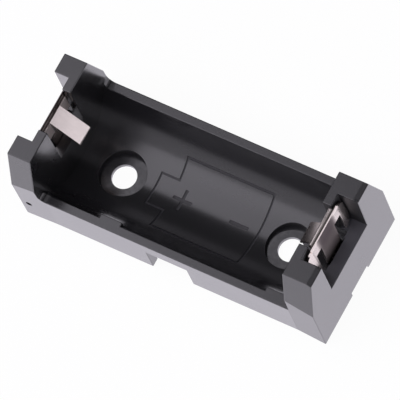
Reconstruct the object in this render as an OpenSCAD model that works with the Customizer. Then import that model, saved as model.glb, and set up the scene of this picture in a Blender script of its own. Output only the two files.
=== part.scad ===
// One-cell holder for a 17 mm x 34.5 mm cylindrical cell: a moulded trough and two folded leaf contacts.
// +X points to the negative end, +Z is up, and the origin is the middle of the base.

/* [Housing] */
// Length over both end faces
body_length = 45.5; // [45:0.1:48]
// Width over the end blocks
body_width = 19.2; // [19:0.1:21]
// Height of the four corner pillars
body_height = 15.6; // [15.2:0.1:17]
// How far the side faces of the positive end block flare out toward the end face
side_relief = 0.15; // [0.05:0.01:0.3]
// How far the side faces of the negative end block flare out toward the end face
end_flare = 0.25; // [0.05:0.01:0.3]
// Height at which the pillars start to lean in
lean_start = 9.3; // [8.6:0.1:10.5]
// How far the pillars lean in at the top
lean_inset = 1.85; // [1:0.05:2.2]
// Height of the long side walls
wall_height = 7; // [6:0.1:7.6]

/* [Cell trough] */
// Radius of the trough that the cell lies in
trough_radius = 8.8; // [8.6:0.05:8.9]
// Thickness of the floor at its thinnest
floor_thickness = 1.3; // [1.1:0.1:1.8]
// X position of the trough's positive end
trough_left = -19.25; // [-19.4:0.05:-19]
// X position of the trough's negative end
trough_right = 18.5; // [18.2:0.05:18.6]
// Radius of the sweep where the side walls rise into the positive end block
sweep_radius = 1.3; // [0.6:0.1:2]
// Depth of the engraved cell outline
engraving_depth = 0.15; // [0.1:0.05:0.3]

/* [Mounting holes] */
// Distance between the two screw holes
hole_pitch = 25.4; // [24:0.1:26]
// X position of the middle of the hole pair
hole_centre = -0.3; // [-0.6:0.1:0]
// Diameter of the screw holes
hole_diameter = 3.5; // [3:0.1:4]
// Diameter of the screw head seats
seat_diameter = 6.6; // [6:0.1:6.8]
// Thickness of the floor left under the screw heads
seat_floor = 0.6; // [0.4:0.1:0.8]

/* [Contacts] */
// Thickness of the contact strip
strip = 0.3; // [0.2:0.02:0.32]
// Width of the tongue that passes down through the end block
tongue_width = 3.5; // [3:0.1:3.8]
// Width over the wings behind the lips
head_width = 9.4; // [8.6:0.1:9.4]
// Width of the folded bar along the top of each contact
bar_width = 6.9; // [6:0.1:7.4]
// Width of the part of the bar that folds over between the lips
apron_width = 5.5; // [4.6:0.1:5.6]
// Half width of the opening between the two lips
lip_gap = 3.1; // [2.8:0.1:3.3]

/* [Hidden] */
$fn = 96;
eps = 0.01;
far = 60;
half_length = body_length / 2;
half_width = body_width / 2;
land_y = half_width - lean_inset;
axis_height = floor_thickness + trough_radius;
left_block_end = -18;
shell_thickness = 1.3;
side_wall = 1.3;
base_strip = 4;
pocket_radius = trough_radius + shell_thickness;

// End notches: the outer pocket, its floor and the lips on its inner side
notch_floor = 8.4;
notch_half_top = 4.93;
notch_half_floor = 4.82;
left_lip_face = -20.55;
right_lip_face = 19.85;
lip_sill = 7.35;

// Contact slots and the solder relief under each end
slot_half = tongue_width / 2 + 0.3;
relief_half = 2.2;
relief_height = 0.87;
swing_room = 0.4;
slot_clearance = 0.08;

// Contact strip paths, as distance outward from the middle and height
positive_plate = 20.9;
positive_top = 14.5;
negative_plate = 20.35;
negative_top = 15.5;
outer_bend = 0.4;
inner_bend = 0.18;
bend_flat = 0.14;
bend_split = 65;
fold_depth =
    outer_bend * (1 - cos(bend_split)) + bend_flat * sin(bend_split) + inner_bend * (1 + cos(bend_split));
apron_drop = 3;
foot_radius = 0.45;
foot_height = 0.1;
foot_end = half_length - 0.7;
foot_width = 2.5;
tab_tip_height = 10.9;
tip_turn = [-0.18, -0.4];
head_lean = 4;
head_flat = 3.3;

// The engraved outline of a cell
outline_left = -5.5;
outline_right = 7.65;
outline_half = 5.23;
nub_left = -8.2;
nub_half = 2.3;
line_width = 0.3;
sign_width = 0.45;

// Small marks of the moulding
pad_length = 3.2;
pad_depth = 2.4;
pad_face = 7.65;
pin_mark_place = [-21.5, 3.9];
pin_mark_diameter = 0.9;

// ---- helpers -------------------------------------------------------------------------------------

// Points on an arc from one angle to another
function arc_points(centre, radius, from, to, steps) =
    [for (i = [0 : steps])
        let (a = from + (to - from) * i / steps)
        [centre.x + radius * cos(a), centre.y + radius * sin(a)]];

// Unit normal to the left of the step from p to q
function left_normal(p, q) =
    let (d = q - p)
    [-d.y, d.x] / norm(d);

// Mitred normal at point i of a path
function mitre(path, i) =
    let (
        last = len(path) - 1,
        a = left_normal(path[max(i - 1, 0)], path[max(i, 1)]),
        b = left_normal(path[min(i, last - 1)], path[min(i + 1, last)]),
        m = a + b
    )
    m * 2 / (m * m);

// Outline of a strip of even thickness along a path
function strip_outline(path, thickness) =
    concat(
        [for (i = [0 : len(path) - 1]) path[i] + mitre(path, i) * thickness / 2],
        [for (i = [len(path) - 1 : -1 : 0]) path[i] - mitre(path, i) * thickness / 2]
    );

// Extrudes an outline drawn as (x, z) over a width centred on y = 0
module across(width) {
    translate([0, width / 2, 0])
        rotate([90, 0, 0])
            linear_extrude(height = width)
                children();
}

// Extrudes an outline drawn as (y, z) from one x position to another
module along(from_x, to_x) {
    translate([from_x, 0, 0])
        rotate([90, 0, 90])
            linear_extrude(height = to_x - from_x)
                children();
}

// A box given by its lowest and highest corners
module span(low, high) {
    translate(low)
        cube(high - low);
}

// ---- housing -------------------------------------------------------------------------------------

// The outer form: leaning pillars, and end blocks that flare out toward their end faces
module outer_form() {
    wall_y = half_width - side_relief;
    flare_y = half_width - end_flare;
    intersection() {
        along(-half_length, half_length)
            polygon([
                [-half_width, 0],
                [half_width, 0],
                [half_width, lean_start],
                [land_y, body_height],
                [-land_y, body_height],
                [-half_width, lean_start],
            ]);
        linear_extrude(height = body_height)
            polygon([
                [-half_length, -half_width],
                [left_block_end, -wall_y],
                [trough_right, -flare_y],
                [half_length, -half_width],
                [half_length, half_width],
                [trough_right, flare_y],
                [left_block_end, wall_y],
                [-half_length, half_width],
            ]);
    }
}

// The opening above the side walls, with the sweep up to the positive end
module upper_opening() {
    across(far)
        polygon(concat(
            [[trough_right, body_height + 1], [trough_right, wall_height]],
            arc_points(
                [trough_left + sweep_radius, wall_height + sweep_radius],
                sweep_radius, 270, 180, 10
            ),
            [[trough_left, body_height + 1]]
        ));
}

// The round trough for the cell
module trough() {
    translate([trough_left, 0, axis_height])
        rotate([0, 90, 0])
            cylinder(r = trough_radius, h = trough_right - trough_left, $fn = 160);
}

// The tapered notch in an end block, open at the top and at the end face
module end_notch(from_x, to_x) {
    along(from_x, to_x)
        polygon([
            [-notch_half_floor, notch_floor],
            [notch_half_floor, notch_floor],
            [notch_half_top, body_height + 1],
            [-notch_half_top, body_height + 1],
        ]);
}

// The slot that a contact's tongue passes through, wider at the top where the leaf swings
module contact_slot(side, plate) {
    inner = plate - strip / 2 - slot_clearance;
    outer = plate + strip / 2 + slot_clearance;
    across(2 * slot_half)
        polygon([
            [side * inner, -1],
            [side * outer, -1],
            [side * outer, relief_height],
            [side * (outer + swing_room), notch_floor + 0.1],
            [side * inner, notch_floor + 0.1],
        ]);
}

// The channel under an end block for the solder foot
module foot_relief(side, plate) {
    inner = plate - strip / 2 - 0.5;
    across(2 * relief_half)
        polygon([
            [side * inner, -1],
            [side * (half_length + 1), -1],
            [side * (half_length + 1), relief_height],
            [side * inner, relief_height],
        ]);
}

// A screw hole with the flat seat for the head
module screw_seat(x) {
    translate([x, 0, 0]) {
        translate([0, 0, -1])
            cylinder(d = hole_diameter, h = 4);
        translate([0, 0, seat_floor])
            cylinder(d = seat_diameter, h = 6);
    }
}

// The cored space under one haunch of the trough
module haunch_pocket(side) {
    intersection() {
        span(
            [trough_left + 0.9, side > 0 ? base_strip : -half_width + side_relief + side_wall, -1],
            [trough_right - 0.9, side > 0 ? half_width - side_relief - side_wall : -base_strip, 7]
        );
        difference() {
            span([-half_length, -half_width, -1], [half_length, half_width, axis_height]);
            translate([-half_length - 1, 0, axis_height])
                rotate([0, 90, 0])
                    cylinder(r = pocket_radius, h = body_length + 2, $fn = 160);
        }
    }
}

// The notch at the foot of each long side wall
module side_notch(side) {
    low_y = side > 0 ? half_width - side_relief - side_wall - 0.1 : -half_width - 1;
    span([-3.4, low_y, -1], [2.65, low_y + side_relief + side_wall + 1.1, 4.6]);
}

// One engraved line of the cell outline
module line_cut(from, to, width = line_width) {
    d = to - from;
    translate(from)
        rotate(atan2(d.y, d.x))
            translate([-width / 2, -width / 2])
                square([norm(d) + width, width]);
}

// The plain outline of a cell, with its plus and minus signs
module cell_outline() {
    for (s = [-1, 1]) {
        line_cut([outline_left, s * outline_half], [outline_right, s * outline_half]);
        line_cut([outline_left, s * nub_half], [outline_left, s * outline_half]);
        line_cut([nub_left, s * nub_half], [outline_left, s * nub_half]);
    }
    line_cut([outline_right, -outline_half], [outline_right, outline_half]);
    line_cut([nub_left, -nub_half], [nub_left, nub_half]);
    line_cut([-5.1, 0], [-2.7, 0], sign_width);
    line_cut([-3.9, -1.3], [-3.9, 1.3], sign_width);
    line_cut([3.5, 0], [5.9, 0], sign_width);
}

// The engraving, an even depth below the curved floor
module engraving() {
    intersection() {
        linear_extrude(height = axis_height - 2)
            cell_outline();
        translate([-12, 0, axis_height])
            rotate([0, 90, 0])
                cylinder(r = trough_radius + engraving_depth, h = 24, $fn = 160);
    }
}

// The shallow mark that an ejector pin left near one corner of the near side
module pin_mark() {
    translate([pin_mark_place.x, -half_width - 1, pin_mark_place.y])
        rotate([-90, 0, 0])
            cylinder(d = pin_mark_diameter, h = 1.25);
}

// The eased upper edge of the negative end face
module end_easing() {
    across(far)
        polygon([
            [half_length - 0.75, body_height + eps],
            [half_length + 1, body_height + 1],
            [half_length + 1, body_height - 0.47],
        ]);
}

// A low pad inside the near wall's upper edge
module wall_pad(from_x) {
    span(
        [from_x, -half_width + 0.5, wall_height - pad_depth],
        [from_x + pad_length, -pad_face, wall_height]
    );
}

module housing() {
    color("#1d1d20")
    difference() {
        union() {
            difference() {
                outer_form();
                upper_opening();
                trough();
            }
            wall_pad(-10.6);
            wall_pad(14.4);
        }
        end_notch(-half_length - 1, left_lip_face);
        end_notch(right_lip_face, half_length + 1);
        span([left_lip_face - 1, -lip_gap, lip_sill], [trough_left + 1, lip_gap, body_height + 1]);
        span([trough_right - 1, -lip_gap, lip_sill], [right_lip_face + 1, lip_gap, body_height + 1]);
        contact_slot(-1, positive_plate);
        contact_slot(1, negative_plate);
        foot_relief(-1, positive_plate);
        foot_relief(1, negative_plate);
        screw_seat(hole_centre - hole_pitch / 2);
        screw_seat(hole_centre + hole_pitch / 2);
        for (side = [-1, 1]) {
            haunch_pocket(side);
            side_notch(side);
        }
        engraving();
        pin_mark();
        end_easing();
    }
}

// ---- contacts ------------------------------------------------------------------------------------

// Height of the centre of a contact's outer bend, below a given top
function bend_height(top) =
    top - strip / 2 - inner_bend * (1 - sin(bend_split))
    - outer_bend * sin(bend_split) - bend_flat * cos(bend_split);

// Path over the top of a contact: a soft outer bend, a short slope, and a tight inner bend to the given angle
function fold_path(plate, top, to) =
    let (
        outer = [plate - outer_bend, bend_height(top)],
        across_slope = [cos(bend_split), sin(bend_split)],
        along_slope = [-sin(bend_split), cos(bend_split)],
        inner = outer + (outer_bend - inner_bend) * across_slope + bend_flat * along_slope
    )
    concat(
        arc_points(outer, outer_bend, 0, bend_split, 6),
        to > bend_split ? arc_points(inner, inner_bend, bend_split, to, 8) : []
    );

// The end of a tab, which turns down just past the point that the cell presses on
function tab_end(point) = [point, point + tip_turn];

// Front outline of the head: a top bar with two rounded wings that hang behind the lips
module head_front(top, window_top) {
    half = head_width / 2;
    wing_foot = 9.4;
    window_half = 3.15;
    difference() {
        polygon(concat(
            [[-3.2, wing_foot], [3.2, wing_foot]],
            arc_points([half - 1.2, wing_foot + 1.5], 1.2, -70, 0, 5),
            arc_points([half - 1.4, top - 1.9], 1.4, 0, 75, 6),
            arc_points([-half + 1.4, top - 1.9], 1.4, 105, 180, 6),
            arc_points([-half + 1.2, wing_foot + 1.5], 1.2, 180, 250, 5)
        ));
        translate([-window_half, wing_foot - 1])
            square([2 * window_half, window_top - wing_foot + 1]);
        translate([-tongue_width / 2 + 0.05, wing_foot - 1])
            square([tongue_width - 0.1, top]);
    }
}

// Plan of the head: flat behind the opening, with wings that curve in toward the lips
module head_plan(plate, curl_radius) {
    curl_sweep = asin((head_width / 2 - head_flat) / curl_radius);
    half_path = concat(
        [[plate, 0]],
        arc_points([plate - curl_radius, head_flat], curl_radius, 0, curl_sweep, 5)
    );
    full_path = concat(
        [for (i = [len(half_path) - 1 : -1 : 1]) [half_path[i].x, -half_path[i].y]],
        half_path
    );
    polygon(strip_outline(full_path, strip));
}

// The head below its bends, leaning so that the feet of the wings stand further out
module head(plate, top, window_top, curl_radius) {
    bend = bend_height(top);
    intersection() {
        translate([plate, 0, bend])
            rotate([0, -head_lean, 0])
                translate([-plate, 0, notch_floor - bend - 1])
                    linear_extrude(height = bend - notch_floor + 1)
                        head_plan(plate, curl_radius);
        along(plate - 1, plate + 3)
            head_front(top, window_top);
    }
}

// A strip over the top of a contact, from a little below the bends to the given angle and points
module fold(plate, top, width, to, end = []) {
    across(width)
        polygon(strip_outline(
            concat([[plate, bend_height(top) - 0.3]], fold_path(plate, top, to), end),
            strip
        ));
}

// A leaf contact, drawn with outward as +X
module leaf_contact(plate, top, window_top, curl_radius, tab_width, sweep, tab) {
    bend = bend_height(top);
    foot_line = foot_height + strip / 2;
    stem = concat(
        [[foot_end, foot_line]],
        arc_points([plate + foot_radius, foot_line + foot_radius], foot_radius, 270, 180, 6),
        [[plate, bend]]
    );
    across(foot_width)
        polygon(strip_outline(stem, strip));
    span([plate - strip / 2, -tongue_width / 2, 2.2], [plate + strip / 2, tongue_width / 2, bend]);
    head(plate, top, window_top, curl_radius);
    fold(plate, top, bar_width, bend_split);
    fold(plate, top, apron_width, 180, [[plate - fold_depth, top - apron_drop]]);
    fold(plate, top, tab_width, sweep, tab);
}

module positive_contact() {
    color("#d8d2d0")
    mirror([1, 0, 0])
        leaf_contact(positive_plate, positive_top, 11.3, 8, 2.7, 136, tab_end([16.75, tab_tip_height]));
}

module negative_contact() {
    color("#d8d2d0")
    leaf_contact(
        negative_plate, negative_top, 13.3, 4, 3, 173,
        concat([[19.45, 12.9], [19.05, 12.5]], tab_end([16.95, tab_tip_height]))
    );
}

housing();
positive_contact();
negative_contact();
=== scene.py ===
"""Cylindrical cell holder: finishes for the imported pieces, a plain stage and the camera."""

import math

import bmesh
import bpy
from bpy.props import FloatProperty, FloatVectorProperty, PointerProperty
from mathutils import Matrix, Vector


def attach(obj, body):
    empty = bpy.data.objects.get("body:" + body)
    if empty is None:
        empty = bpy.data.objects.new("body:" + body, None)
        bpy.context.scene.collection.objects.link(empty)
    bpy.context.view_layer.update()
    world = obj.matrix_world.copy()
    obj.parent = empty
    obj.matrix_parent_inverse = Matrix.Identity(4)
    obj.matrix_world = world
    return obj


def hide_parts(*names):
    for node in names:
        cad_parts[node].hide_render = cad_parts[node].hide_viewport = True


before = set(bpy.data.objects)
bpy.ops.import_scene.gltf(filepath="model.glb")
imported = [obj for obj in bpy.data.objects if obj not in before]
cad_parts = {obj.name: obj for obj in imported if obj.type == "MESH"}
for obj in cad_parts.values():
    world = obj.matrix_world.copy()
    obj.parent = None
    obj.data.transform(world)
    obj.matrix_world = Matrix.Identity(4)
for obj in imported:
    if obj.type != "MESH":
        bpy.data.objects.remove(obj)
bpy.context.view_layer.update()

MM = 0.001

bl_info = {
    "name": "Cylindrical Cell Holder",
    "version": (1, 0, 0),
    "blender": (4, 5, 0),
    "location": "View3D > Sidebar > Cell Holder",
    "description": "Finishes the housing and leaf contacts of a cell holder and sets a plain stage",
    "category": "Object",
}


# ---- sizes and colours ---------------------------------------------------------------------------

# Places on the moulding that its finish follows, in millimetres
TROUGH_AXIS = 10.1
TROUGH_RADIUS = 8.8
ENGRAVING_TOP = 3.2
ENGRAVING_HALF_LENGTH = 9.0
ENGRAVING_HALF_WIDTH = 5.57
SEAT_FLOOR = 0.6
SEAT_TOP = 3.0
SEAT_WALL_RADII = (3.194, 3.317)
HOLES_MIDDLE = -0.3
HOLE_PITCH = 25.4
END_BLOCK_LENGTH = (18.4, 22.7)
END_BLOCK_SIDE = 7.81
NOTCH_LENGTH = (18.0, 22.7)
NOTCH_HEIGHT = (8.0, 15.55)
NOTCH_HALF_WIDTH = 5.29
NOTCH_FLOOR = 8.5

# Places on the contacts that their finish follows, in millimetres
OUTER_BEND_INSIDE = -20.18
OUTER_BEND_BOTTOM = 13.7
APRON_LENGTH = (-20.45, -19.9)
APRON_HEIGHT = (11.0, 14.3)
TAB_HALF_WIDTH = 1.38
TONGUE_START = 19.8
TONGUE_HEIGHT = (8.0, 15.2)
TONGUE_HALF_WIDTH = 2.3
FOLD_LENGTH = (15.0, 19.6)

# Colours of worn and stretched plating
# Colours painted on the plating: painted shade, and a painted dark reflection
PAINTED_SHADE_PLATING = (0.09, 0.07, 0.075)
PAINTED_REFLECTION_PLATING = (0.06, 0.045, 0.04)

# The lamps are a very little violet
LAMP_COLOUR = (0.99, 0.955, 1.05)

# Sockets of the Mix node that have no name of their own when it mixes colours
MIX_FIRST = 6
MIX_SECOND = 7
MIX_COLOUR = 2


class HousingSettings(bpy.types.PropertyGroup):
    """Finish of the moulded housing"""

    colour: FloatVectorProperty(
        name="Plastic colour",
        description="Body colour of the black moulding",
        subtype="COLOR",
        default=(0.0080, 0.0078, 0.0090),
        min=0.0,
        max=1.0,
    )
    roughness: FloatProperty(
        name="Roughness",
        description="Roughness of the moulded skin",
        default=0.26,
        min=0.0,
        max=1.0,
    )
    edge: FloatProperty(
        name="Edge radius",
        description="Radius left on the outer edges of the moulding",
        subtype="DISTANCE",
        default=0.10 * MM,
        min=0.0,
    )


class ContactSettings(bpy.types.PropertyGroup):
    """Finish of the leaf contacts"""

    colour: FloatVectorProperty(
        name="Plating colour",
        description="Colour of the nickel plating",
        subtype="COLOR",
        default=(0.88, 0.80, 0.75),
        min=0.0,
        max=1.0,
    )
    roughness: FloatProperty(
        name="Roughness",
        description="Roughness of the plated strip",
        default=0.20,
        min=0.0,
        max=1.0,
    )


class StageSettings(bpy.types.PropertyGroup):
    """Camera, floor and lamps"""

    azimuth: FloatProperty(
        name="Azimuth",
        description="Direction of the camera, turned from the near side towards the negative end",
        subtype="ANGLE",
        default=math.radians(53.48),
    )
    elevation: FloatProperty(
        name="Elevation",
        description="Height of the camera as an angle above the floor",
        subtype="ANGLE",
        default=math.radians(63.92),
    )
    roll: FloatProperty(
        name="Roll",
        description="Turn of the camera about its own line of sight",
        subtype="ANGLE",
        default=math.radians(26.91),
    )
    distance: FloatProperty(
        name="Distance",
        description="Distance from the camera to the point that it looks at",
        unit="LENGTH",
        default=0.7146,
        min=0.1,
    )
    lens: FloatProperty(
        name="Lens",
        description="Focal length in millimetres on a 36 mm sensor",
        default=495.1,
        min=20.0,
    )
    look_at: FloatVectorProperty(
        name="Look at",
        description="Point in the middle of the view",
        subtype="TRANSLATION",
        default=(0.00002, -0.00031, 0.0059),
    )


# ---- shader helpers ------------------------------------------------------------------------------


class Value:
    """A socket whose arithmetic adds Math nodes to its shader"""

    def __init__(self, shader, socket):
        self.shader = shader
        self.socket = socket

    def _math(self, operation, a, b=None):
        values = {0: a} if b is None else {0: a, 1: b}
        return self.shader.node("ShaderNodeMath", {"operation": operation}, values)

    def __add__(self, other):
        return self._math("ADD", self, other)

    def __radd__(self, other):
        return self._math("ADD", other, self)

    def __sub__(self, other):
        return self._math("SUBTRACT", self, other)

    def __rsub__(self, other):
        return self._math("SUBTRACT", other, self)

    def __mul__(self, other):
        return self._math("MULTIPLY", self, other)

    def __rmul__(self, other):
        return self._math("MULTIPLY", other, self)

    def __truediv__(self, other):
        return self._math("DIVIDE", self, other)

    def __pow__(self, other):
        return self._math("POWER", self, other)

    def __abs__(self):
        return self._math("ABSOLUTE", self)

    def __gt__(self, other):
        return self._math("GREATER_THAN", self, other)

    def __lt__(self, other):
        return self._math("LESS_THAN", self, other)

    def between(self, low, high):
        return (self > low) * (self < high)


class Shader:
    """The node tree of one material or world"""

    def __init__(self, owner):
        owner.use_nodes = True
        self.tree = owner.node_tree
        self.tree.nodes.clear()

    def node(self, kind, settings=None, values=None, output=0):
        """Adds a node, sets it up, fills or links its sockets and returns one output, if it has any"""
        made = self.tree.nodes.new(kind)
        for name, value in (settings or {}).items():
            setattr(made, name, value)
        for key, value in (values or {}).items():
            if isinstance(value, Value):
                self.tree.links.new(value.socket, made.inputs[key])
            else:
                made.inputs[key].default_value = value
        return Value(self, made.outputs[output]) if made.outputs else None

    def noise(self, where, scale, detail=3.0):
        return self.node(
            "ShaderNodeTexNoise",
            {"noise_dimensions": "3D"},
            {"Vector": where, "Scale": scale, "Detail": detail},
        )

    def object_place(self, stretch=(1.0, 1.0, 1.0)):
        place = self.node("ShaderNodeTexCoord", output="Object")
        return self.node("ShaderNodeMapping", None, {"Vector": place, "Scale": stretch})

    def axes(self):
        """The X, Y and Z of a point on the piece, in millimetres"""
        place = self.object_place((1.0 / MM,) * 3)
        return [self.node("ShaderNodeSeparateXYZ", None, {0: place}, output=axis) for axis in "XYZ"]

    def bump(self, height, strength, distance):
        return self.node(
            "ShaderNodeBump",
            None,
            {"Height": height, "Strength": strength, "Distance": distance},
        )

    def tint(self, first, second, amount):
        """A colour between two others, each given as numbers or as a socket"""
        first, second = (c if isinstance(c, Value) else (*c, 1.0) for c in (first, second))
        return self.node(
            "ShaderNodeMix",
            {"data_type": "RGBA", "clamp_factor": True},
            {"Factor": amount, MIX_FIRST: first, MIX_SECOND: second},
            output=MIX_COLOUR,
        )

    def surface(self, shader_output):
        self.node("ShaderNodeOutputMaterial", None, {"Surface": shader_output})


# ---- materials -----------------------------------------------------------------------------------


def moulded_plastic(settings):
    """Black moulded plastic: a glossy skin with fine grain, faint flow marks, a few duller places and
    some painted light
    """
    material = bpy.data.materials.new("moulded_plastic")
    s = Shader(material)
    x, y, z = s.axes()
    grain = s.noise(s.object_place(), 9000.0, 2.0)
    flow = s.noise(s.object_place((0.35, 1.0, 1.0)), 260.0, 4.0)

    # The engraved cell outline was cut into the mould by hand and came out duller than the floor; its
    # colour is also lifted a little, a painted highlight on the shaded walls of the groove
    depth = (y * y + (z - TROUGH_AXIS) * (z - TROUGH_AXIS)) ** 0.5 - TROUGH_RADIUS
    on_drawing = (abs(x) < ENGRAVING_HALF_LENGTH) * (abs(y) < ENGRAVING_HALF_WIDTH)
    engraved = depth.between(0.06, 0.3) * on_drawing * (z < ENGRAVING_TOP)

    # The flat seats round the screw holes have a coarse mottle
    along = abs(x - HOLES_MIDDLE) - 0.5 * HOLE_PITCH
    from_hole = (along * along + y * y) ** 0.5
    seat_level = z.between(SEAT_FLOOR - 0.05, SEAT_FLOOR + 0.05)
    in_seat = seat_level * (from_hole < SEAT_WALL_RADII[1])
    mottle = s.noise(s.object_place(), 1500.0, 3.0)

    # The walls of those seats are black, with no gloss to speak of
    seat_wall = from_hole.between(*SEAT_WALL_RADII) * z.between(SEAT_FLOOR, SEAT_TOP)

    # The outer side faces of the negative end block are a little duller than the long walls
    dull_side = x.between(*END_BLOCK_LENGTH) * (abs(y) > END_BLOCK_SIDE)

    # The walls and floor of the notch in that block came out of the mould matt
    in_notch = x.between(*NOTCH_LENGTH) * (abs(y) < NOTCH_HALF_WIDTH) * z.between(*NOTCH_HEIGHT)

    # The bare floor of that notch is painted much lighter: painted light standing in for the light that
    # the floor catches
    notch_floor_painted_light = in_notch * (z < NOTCH_FLOOR)

    dark = tuple(settings.colour)
    light = tuple(7.0 * c for c in settings.colour)
    wear = 0.08 * (flow - 0.5) + 0.35 * engraved + 0.3 * (in_notch + seat_wall)
    lost_coat = 0.5 * dull_side + 0.7 * engraved + 0.6 * in_seat + in_notch + seat_wall
    s.surface(
        s.node(
            "ShaderNodeBsdfPrincipled",
            None,
            {
                # The lift towards light on the notch floor is painted light
                "Base Color": s.tint(dark, light, 0.07 * flow + 0.93 * notch_floor_painted_light + 0.22 * engraved),
                "Roughness": settings.roughness + wear + in_seat * (0.3 * mottle - 0.22),
                "Specular IOR Level": 1.0,
                "Coat Weight": 1.0 - lost_coat,
                "Coat Roughness": 0.18,
                "Normal": s.bump(grain + 2.5 * in_seat * mottle, 0.10, 0.01 * MM),
            },
        )
    )
    return material


def plated_strip(settings):
    """Nickel plating over rolled strip: fine streaks, slight clouding, small marks, painted shade and a
    painted dark reflection
    """
    material = bpy.data.materials.new("plated_strip")
    s = Shader(material)
    x, y, z = s.axes()
    streaks = s.noise(s.object_place((1.0, 14.0, 1.0)), 900.0, 3.0)
    clouds = s.noise(s.object_place(), 450.0, 2.0)
    marks = s.noise(s.object_place((1.0, 1.0, 0.2)), 2600.0, 2.0)

    # The top of the positive contact's outer bend is painted dark brown, a painted reflection of the
    # dark surroundings above it
    bend_top_painted_dark = (x < OUTER_BEND_INSIDE) * (z > OUTER_BEND_BOTTOM)

    # The apron inside that bend is matt on either side of its tab
    matt_apron = x.between(*APRON_LENGTH) * z.between(*APRON_HEIGHT) * (abs(y) > TAB_HALF_WIDTH)

    # The tongue of the negative contact is painted darker, painted shade that is strongest towards the
    # bar
    on_tongue = (x > TONGUE_START) * (abs(y) < TONGUE_HALF_WIDTH) * z.between(*TONGUE_HEIGHT)
    tongue = on_tongue * (1.0 - (abs(y) / TONGUE_HALF_WIDTH) ** 6.0)
    towards_bar = s.node(
        "ShaderNodeMapRange",
        None,
        {"Value": z, "From Min": 11.0, "From Max": 13.4, "To Min": 0.8, "To Max": 0.96},
    )
    # The fold inside that tongue gets painted shade too, but less
    painted_shade = tongue * towards_bar + 0.45 * x.between(*FOLD_LENGTH)

    bright = tuple(settings.colour)
    dim = tuple(0.88 * c for c in settings.colour)
    # The clouded plating takes the painted shade of the tongue and fold here
    clouded_and_shaded = s.tint(s.tint(dim, bright, clouds), PAINTED_SHADE_PLATING, painted_shade)
    wear = 0.10 * (streaks - 0.5) + 0.06 * (marks - 0.5) + 0.35 * (tongue + matt_apron)
    s.surface(
        s.node(
            "ShaderNodeBsdfPrincipled",
            None,
            {
                # The top of the outer bend takes the painted dark reflection here
                "Base Color": s.tint(clouded_and_shaded, PAINTED_REFLECTION_PLATING, 0.92 * bend_top_painted_dark),
                "Metallic": 1.0,
                "Roughness": settings.roughness + wear,
                "Normal": s.bump(streaks, 0.06, 0.02 * MM),
            },
        )
    )
    return material


def white_floor():
    """Matt white that shows a shadow, and reads as plain white to the camera and in gloss"""
    material = bpy.data.materials.new("white_floor")
    s = Shader(material)
    in_gloss = s.node("ShaderNodeLightPath", output="Is Glossy Ray")
    seen = s.node("ShaderNodeLightPath", output="Is Camera Ray") + in_gloss
    grain = s.noise(s.object_place(), 40.0, 2.0)
    near_white = s.tint((0.88, 0.88, 0.88), (0.92, 0.92, 0.92), grain)
    matt = s.node("ShaderNodeBsdfDiffuse", None, {"Color": near_white})
    cool_white = s.tint((1.0, 1.0, 1.0), LAMP_COLOUR, in_gloss)
    white = s.node("ShaderNodeEmission", None, {"Color": cool_white, "Strength": 1.0})
    lit = s.node("ShaderNodeMixShader", None, {0: 0.95 * seen, 1: matt, 2: white})
    # From below the floor is not there, so that the underside can be looked at
    clear = s.node("ShaderNodeBsdfTransparent")
    below = s.node("ShaderNodeNewGeometry", output="Backfacing")
    s.surface(s.node("ShaderNodeMixShader", None, {0: below, 1: lit, 2: clear}))
    return material


# ---- pieces --------------------------------------------------------------------------------------


def merged_copy(name):
    """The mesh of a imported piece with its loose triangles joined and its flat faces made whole"""
    bm = bmesh.new()
    bm.from_mesh(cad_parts[name].data)
    bmesh.ops.remove_doubles(bm, verts=bm.verts, dist=0.002 * MM)
    bmesh.ops.dissolve_limit(bm, angle_limit=math.radians(0.6), verts=bm.verts, edges=bm.edges)
    return bm


def add_piece(bm, name, body, material):
    """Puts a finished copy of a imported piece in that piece's place"""
    mesh = bpy.data.meshes.new(name + "_finished")
    bm.to_mesh(mesh)
    bm.free()
    mesh.materials.append(material)
    piece = bpy.data.objects.new(name + "_finished", mesh)
    bpy.context.scene.collection.objects.link(piece)
    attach(piece, body)
    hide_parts(name)
    return piece


def round_outer_edges(bm, radius):
    """Rounds over the outer edges of the moulding, but not its engraving, seats, slots or feet"""

    def is_outer(edge):
        # The middle of the edge, in millimetres
        middle = (edge.verts[0].co + edge.verts[1].co) / (2.0 * MM)
        in_trough = abs(middle.x) < 17.0 and abs(middle.y) < 5.6 and middle.z < ENGRAVING_TOP
        at_foot = abs(middle.y) < 3.0 and middle.z < 1.0
        at_slot = abs(middle.x) < 21.9 and abs(middle.y) < 4.9 and 7.0 < middle.z < 8.5
        is_corner = edge.is_convex and edge.calc_face_angle(0.0) > math.radians(35)
        is_long = edge.calc_length() > 0.4 * MM
        return is_corner and is_long and not (in_trough or at_foot or at_slot)

    bmesh.ops.bevel(
        bm,
        geom=[edge for edge in bm.edges if is_outer(edge)],
        offset=radius,
        offset_type="OFFSET",
        affect="EDGES",
        segments=2,
        profile=0.5,
        clamp_overlap=False,
        material=-1,
    )


def smooth_trough(piece):
    """Gives the trough the normals of the round that it follows, and keeps every other face flat"""
    mesh = piece.data
    axis = Vector((0.0, 0.0, TROUGH_AXIS * MM))
    normals = []
    for face in mesh.polygons:
        face.use_smooth = True
        inward = []
        for index in face.vertices:
            spoke = axis - mesh.vertices[index].co
            spoke.x = 0.0
            near = abs(spoke.length - TROUGH_RADIUS * MM) < 0.3 * MM
            inward.append(spoke.normalized() if near else Vector())
        is_round = all(face.normal.dot(direction) > 0.998 for direction in inward)
        normals.extend(inward if is_round else [face.normal.copy() for _ in inward])
    mesh.normals_split_custom_set(normals)


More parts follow.
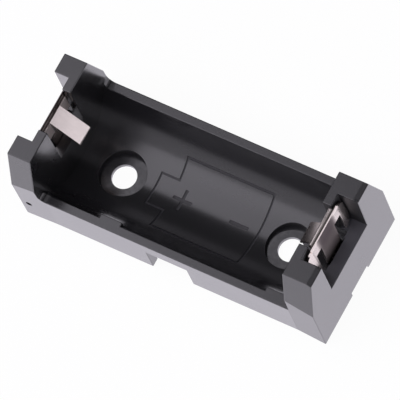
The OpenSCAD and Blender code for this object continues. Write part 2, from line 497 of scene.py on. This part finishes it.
def smooth_bends(piece):
    """Shades the bends of a folded strip as smooth curves, and keeps its cut edges sharp"""
    for face in piece.data.polygons:
        face.use_smooth = True
    piece.data.set_sharp_from_angle(angle=math.radians(40))
    normals = piece.modifiers.new("even_normals", "WEIGHTED_NORMAL")
    normals.keep_sharp = True


class CELLHOLDER_OT_housing(bpy.types.Operator):
    """Ease and finish the moulded housing"""

    bl_idname = "cell_holder.housing"
    bl_label = "Housing"

    def execute(self, context):
        settings = context.scene.holder_housing
        bm = merged_copy("housing")
        round_outer_edges(bm, settings.edge)
        piece = add_piece(bm, "housing", "holder", moulded_plastic(settings))
        smooth_trough(piece)
        return {"FINISHED"}


class CELLHOLDER_OT_contacts(bpy.types.Operator):
    """Smooth and finish the two leaf contacts"""

    bl_idname = "cell_holder.contacts"
    bl_label = "Contacts"

    def execute(self, context):
        plating = plated_strip(context.scene.holder_contacts)
        for name, body in (("positive_contact", "positive_leaf"), ("negative_contact", "negative_leaf")):
            piece = add_piece(merged_copy(name), name, body, plating)
            smooth_bends(piece)
        return {"FINISHED"}


# ---- stage ---------------------------------------------------------------------------------------


def make_camera(settings):
    """A camera given by its direction, roll and distance"""
    look_at = Vector(settings.look_at)
    level = math.cos(settings.elevation)
    outward = Vector((
        level * math.sin(settings.azimuth),
        -level * math.cos(settings.azimuth),
        math.sin(settings.elevation),
    ))
    data = bpy.data.cameras.new("camera")
    data.sensor_width = 36.0
    data.lens = settings.lens
    data.clip_end = 10.0
    camera = bpy.data.objects.new("camera", data)
    turn = outward.to_track_quat("Z", "Y").to_matrix() @ Matrix.Rotation(-settings.roll, 3, "Z")
    place = Matrix.Translation(look_at + settings.distance * outward)
    camera.matrix_world = place @ turn.to_4x4()
    bpy.context.scene.collection.objects.link(camera)
    bpy.context.scene.camera = camera


def make_lamp(name, place, aim, size, brightness):
    """A rectangular soft lamp that shines from a place at an aim, with an even brightness"""
    data = bpy.data.lights.new(name, "AREA")
    data.shape = "RECTANGLE"
    data.size, data.size_y = size
    data.energy = brightness * math.pi * size[0] * size[1]
    data.color = LAMP_COLOUR
    lamp = bpy.data.objects.new(name, data)
    away = Vector(place) - Vector(aim)
    turn = away.normalized().to_track_quat("Z", "Y").to_matrix()
    lamp.matrix_world = Matrix.Translation(place) @ turn.to_4x4()
    lamp.visible_camera = False
    bpy.context.scene.collection.objects.link(lamp)
    return lamp


def make_floor():
    """A plain square floor under the holder"""
    bm = bmesh.new()
    just_below = Matrix.Translation((0.0, 0.0, -0.02 * MM))
    bmesh.ops.create_grid(bm, x_segments=1, y_segments=1, size=3.0, matrix=just_below)
    mesh = bpy.data.meshes.new("floor")
    bm.to_mesh(mesh)
    bm.free()
    floor = bpy.data.objects.new("floor", mesh)
    mesh.materials.append(white_floor())
    bpy.context.scene.collection.objects.link(floor)


def make_world():
    """Dim even surroundings that read as white behind the holder"""
    world = bpy.data.worlds.new("surroundings")
    bpy.context.scene.world = world
    s = Shader(world)
    camera_ray = s.node("ShaderNodeLightPath", output="Is Camera Ray")
    background = s.node(
        "ShaderNodeBackground",
        None,
        {"Color": (1.0, 1.0, 1.0, 1.0), "Strength": 0.04 + 0.96 * camera_ray},
    )
    s.node("ShaderNodeOutputWorld", None, {"Surface": background})


class CELLHOLDER_OT_stage(bpy.types.Operator):
    """Set the floor, the lamps and the camera"""

    bl_idname = "cell_holder.stage"
    bl_label = "Stage"

    def execute(self, context):
        settings = context.scene.holder_stage
        make_floor()
        make_world()
        middle = (0.0, 0.0, 0.0)
        make_lamp("overhead", (-0.54, -0.24, 0.60), (-0.54, -0.24, 0.0), (0.68, 0.90), brightness=1.10)
        make_lamp("front", (0.0, -0.9, 0.42), middle, (1.4, 0.5), brightness=0.45)
        make_lamp("end_card", (0.8, 0.2, 0.22), middle, (0.9, 0.4), brightness=0.90)
        make_lamp("shoulder", (0.06, -0.24, 0.60), (0.06, -0.24, 0.0), (0.52, 0.90), brightness=0.30)
        fill = make_lamp("fill", (-0.2, -0.5, 1.1), middle, (1.6, 1.6), brightness=2.0)
        fill.visible_glossy = False
        make_camera(settings)
        context.scene.view_settings.view_transform = "Standard"
        return {"FINISHED"}


class CELLHOLDER_PT_panel(bpy.types.Panel):
    """Buttons for each group of pieces and the stage"""

    bl_label = "Cell Holder"
    bl_idname = "CELLHOLDER_PT_panel"
    bl_space_type = "VIEW_3D"
    bl_region_type = "UI"
    bl_category = "Cell Holder"

    def draw(self, context):
        for operator in OPERATORS:
            self.layout.operator(operator.bl_idname)


OPERATORS = (CELLHOLDER_OT_housing, CELLHOLDER_OT_contacts, CELLHOLDER_OT_stage)
CLASSES = (HousingSettings, ContactSettings, StageSettings, *OPERATORS, CELLHOLDER_PT_panel)


def register():
    for cls in CLASSES:
        bpy.utils.register_class(cls)
    bpy.types.Scene.holder_housing = PointerProperty(type=HousingSettings)
    bpy.types.Scene.holder_contacts = PointerProperty(type=ContactSettings)
    bpy.types.Scene.holder_stage = PointerProperty(type=StageSettings)


def unregister():
    del bpy.types.Scene.holder_stage
    del bpy.types.Scene.holder_contacts
    del bpy.types.Scene.holder_housing
    for cls in reversed(CLASSES):
        bpy.utils.unregister_class(cls)


def main():
    register()
    bpy.ops.cell_holder.housing()
    bpy.ops.cell_holder.contacts()
    bpy.ops.cell_holder.stage()


if __name__ == "__main__":
    main()
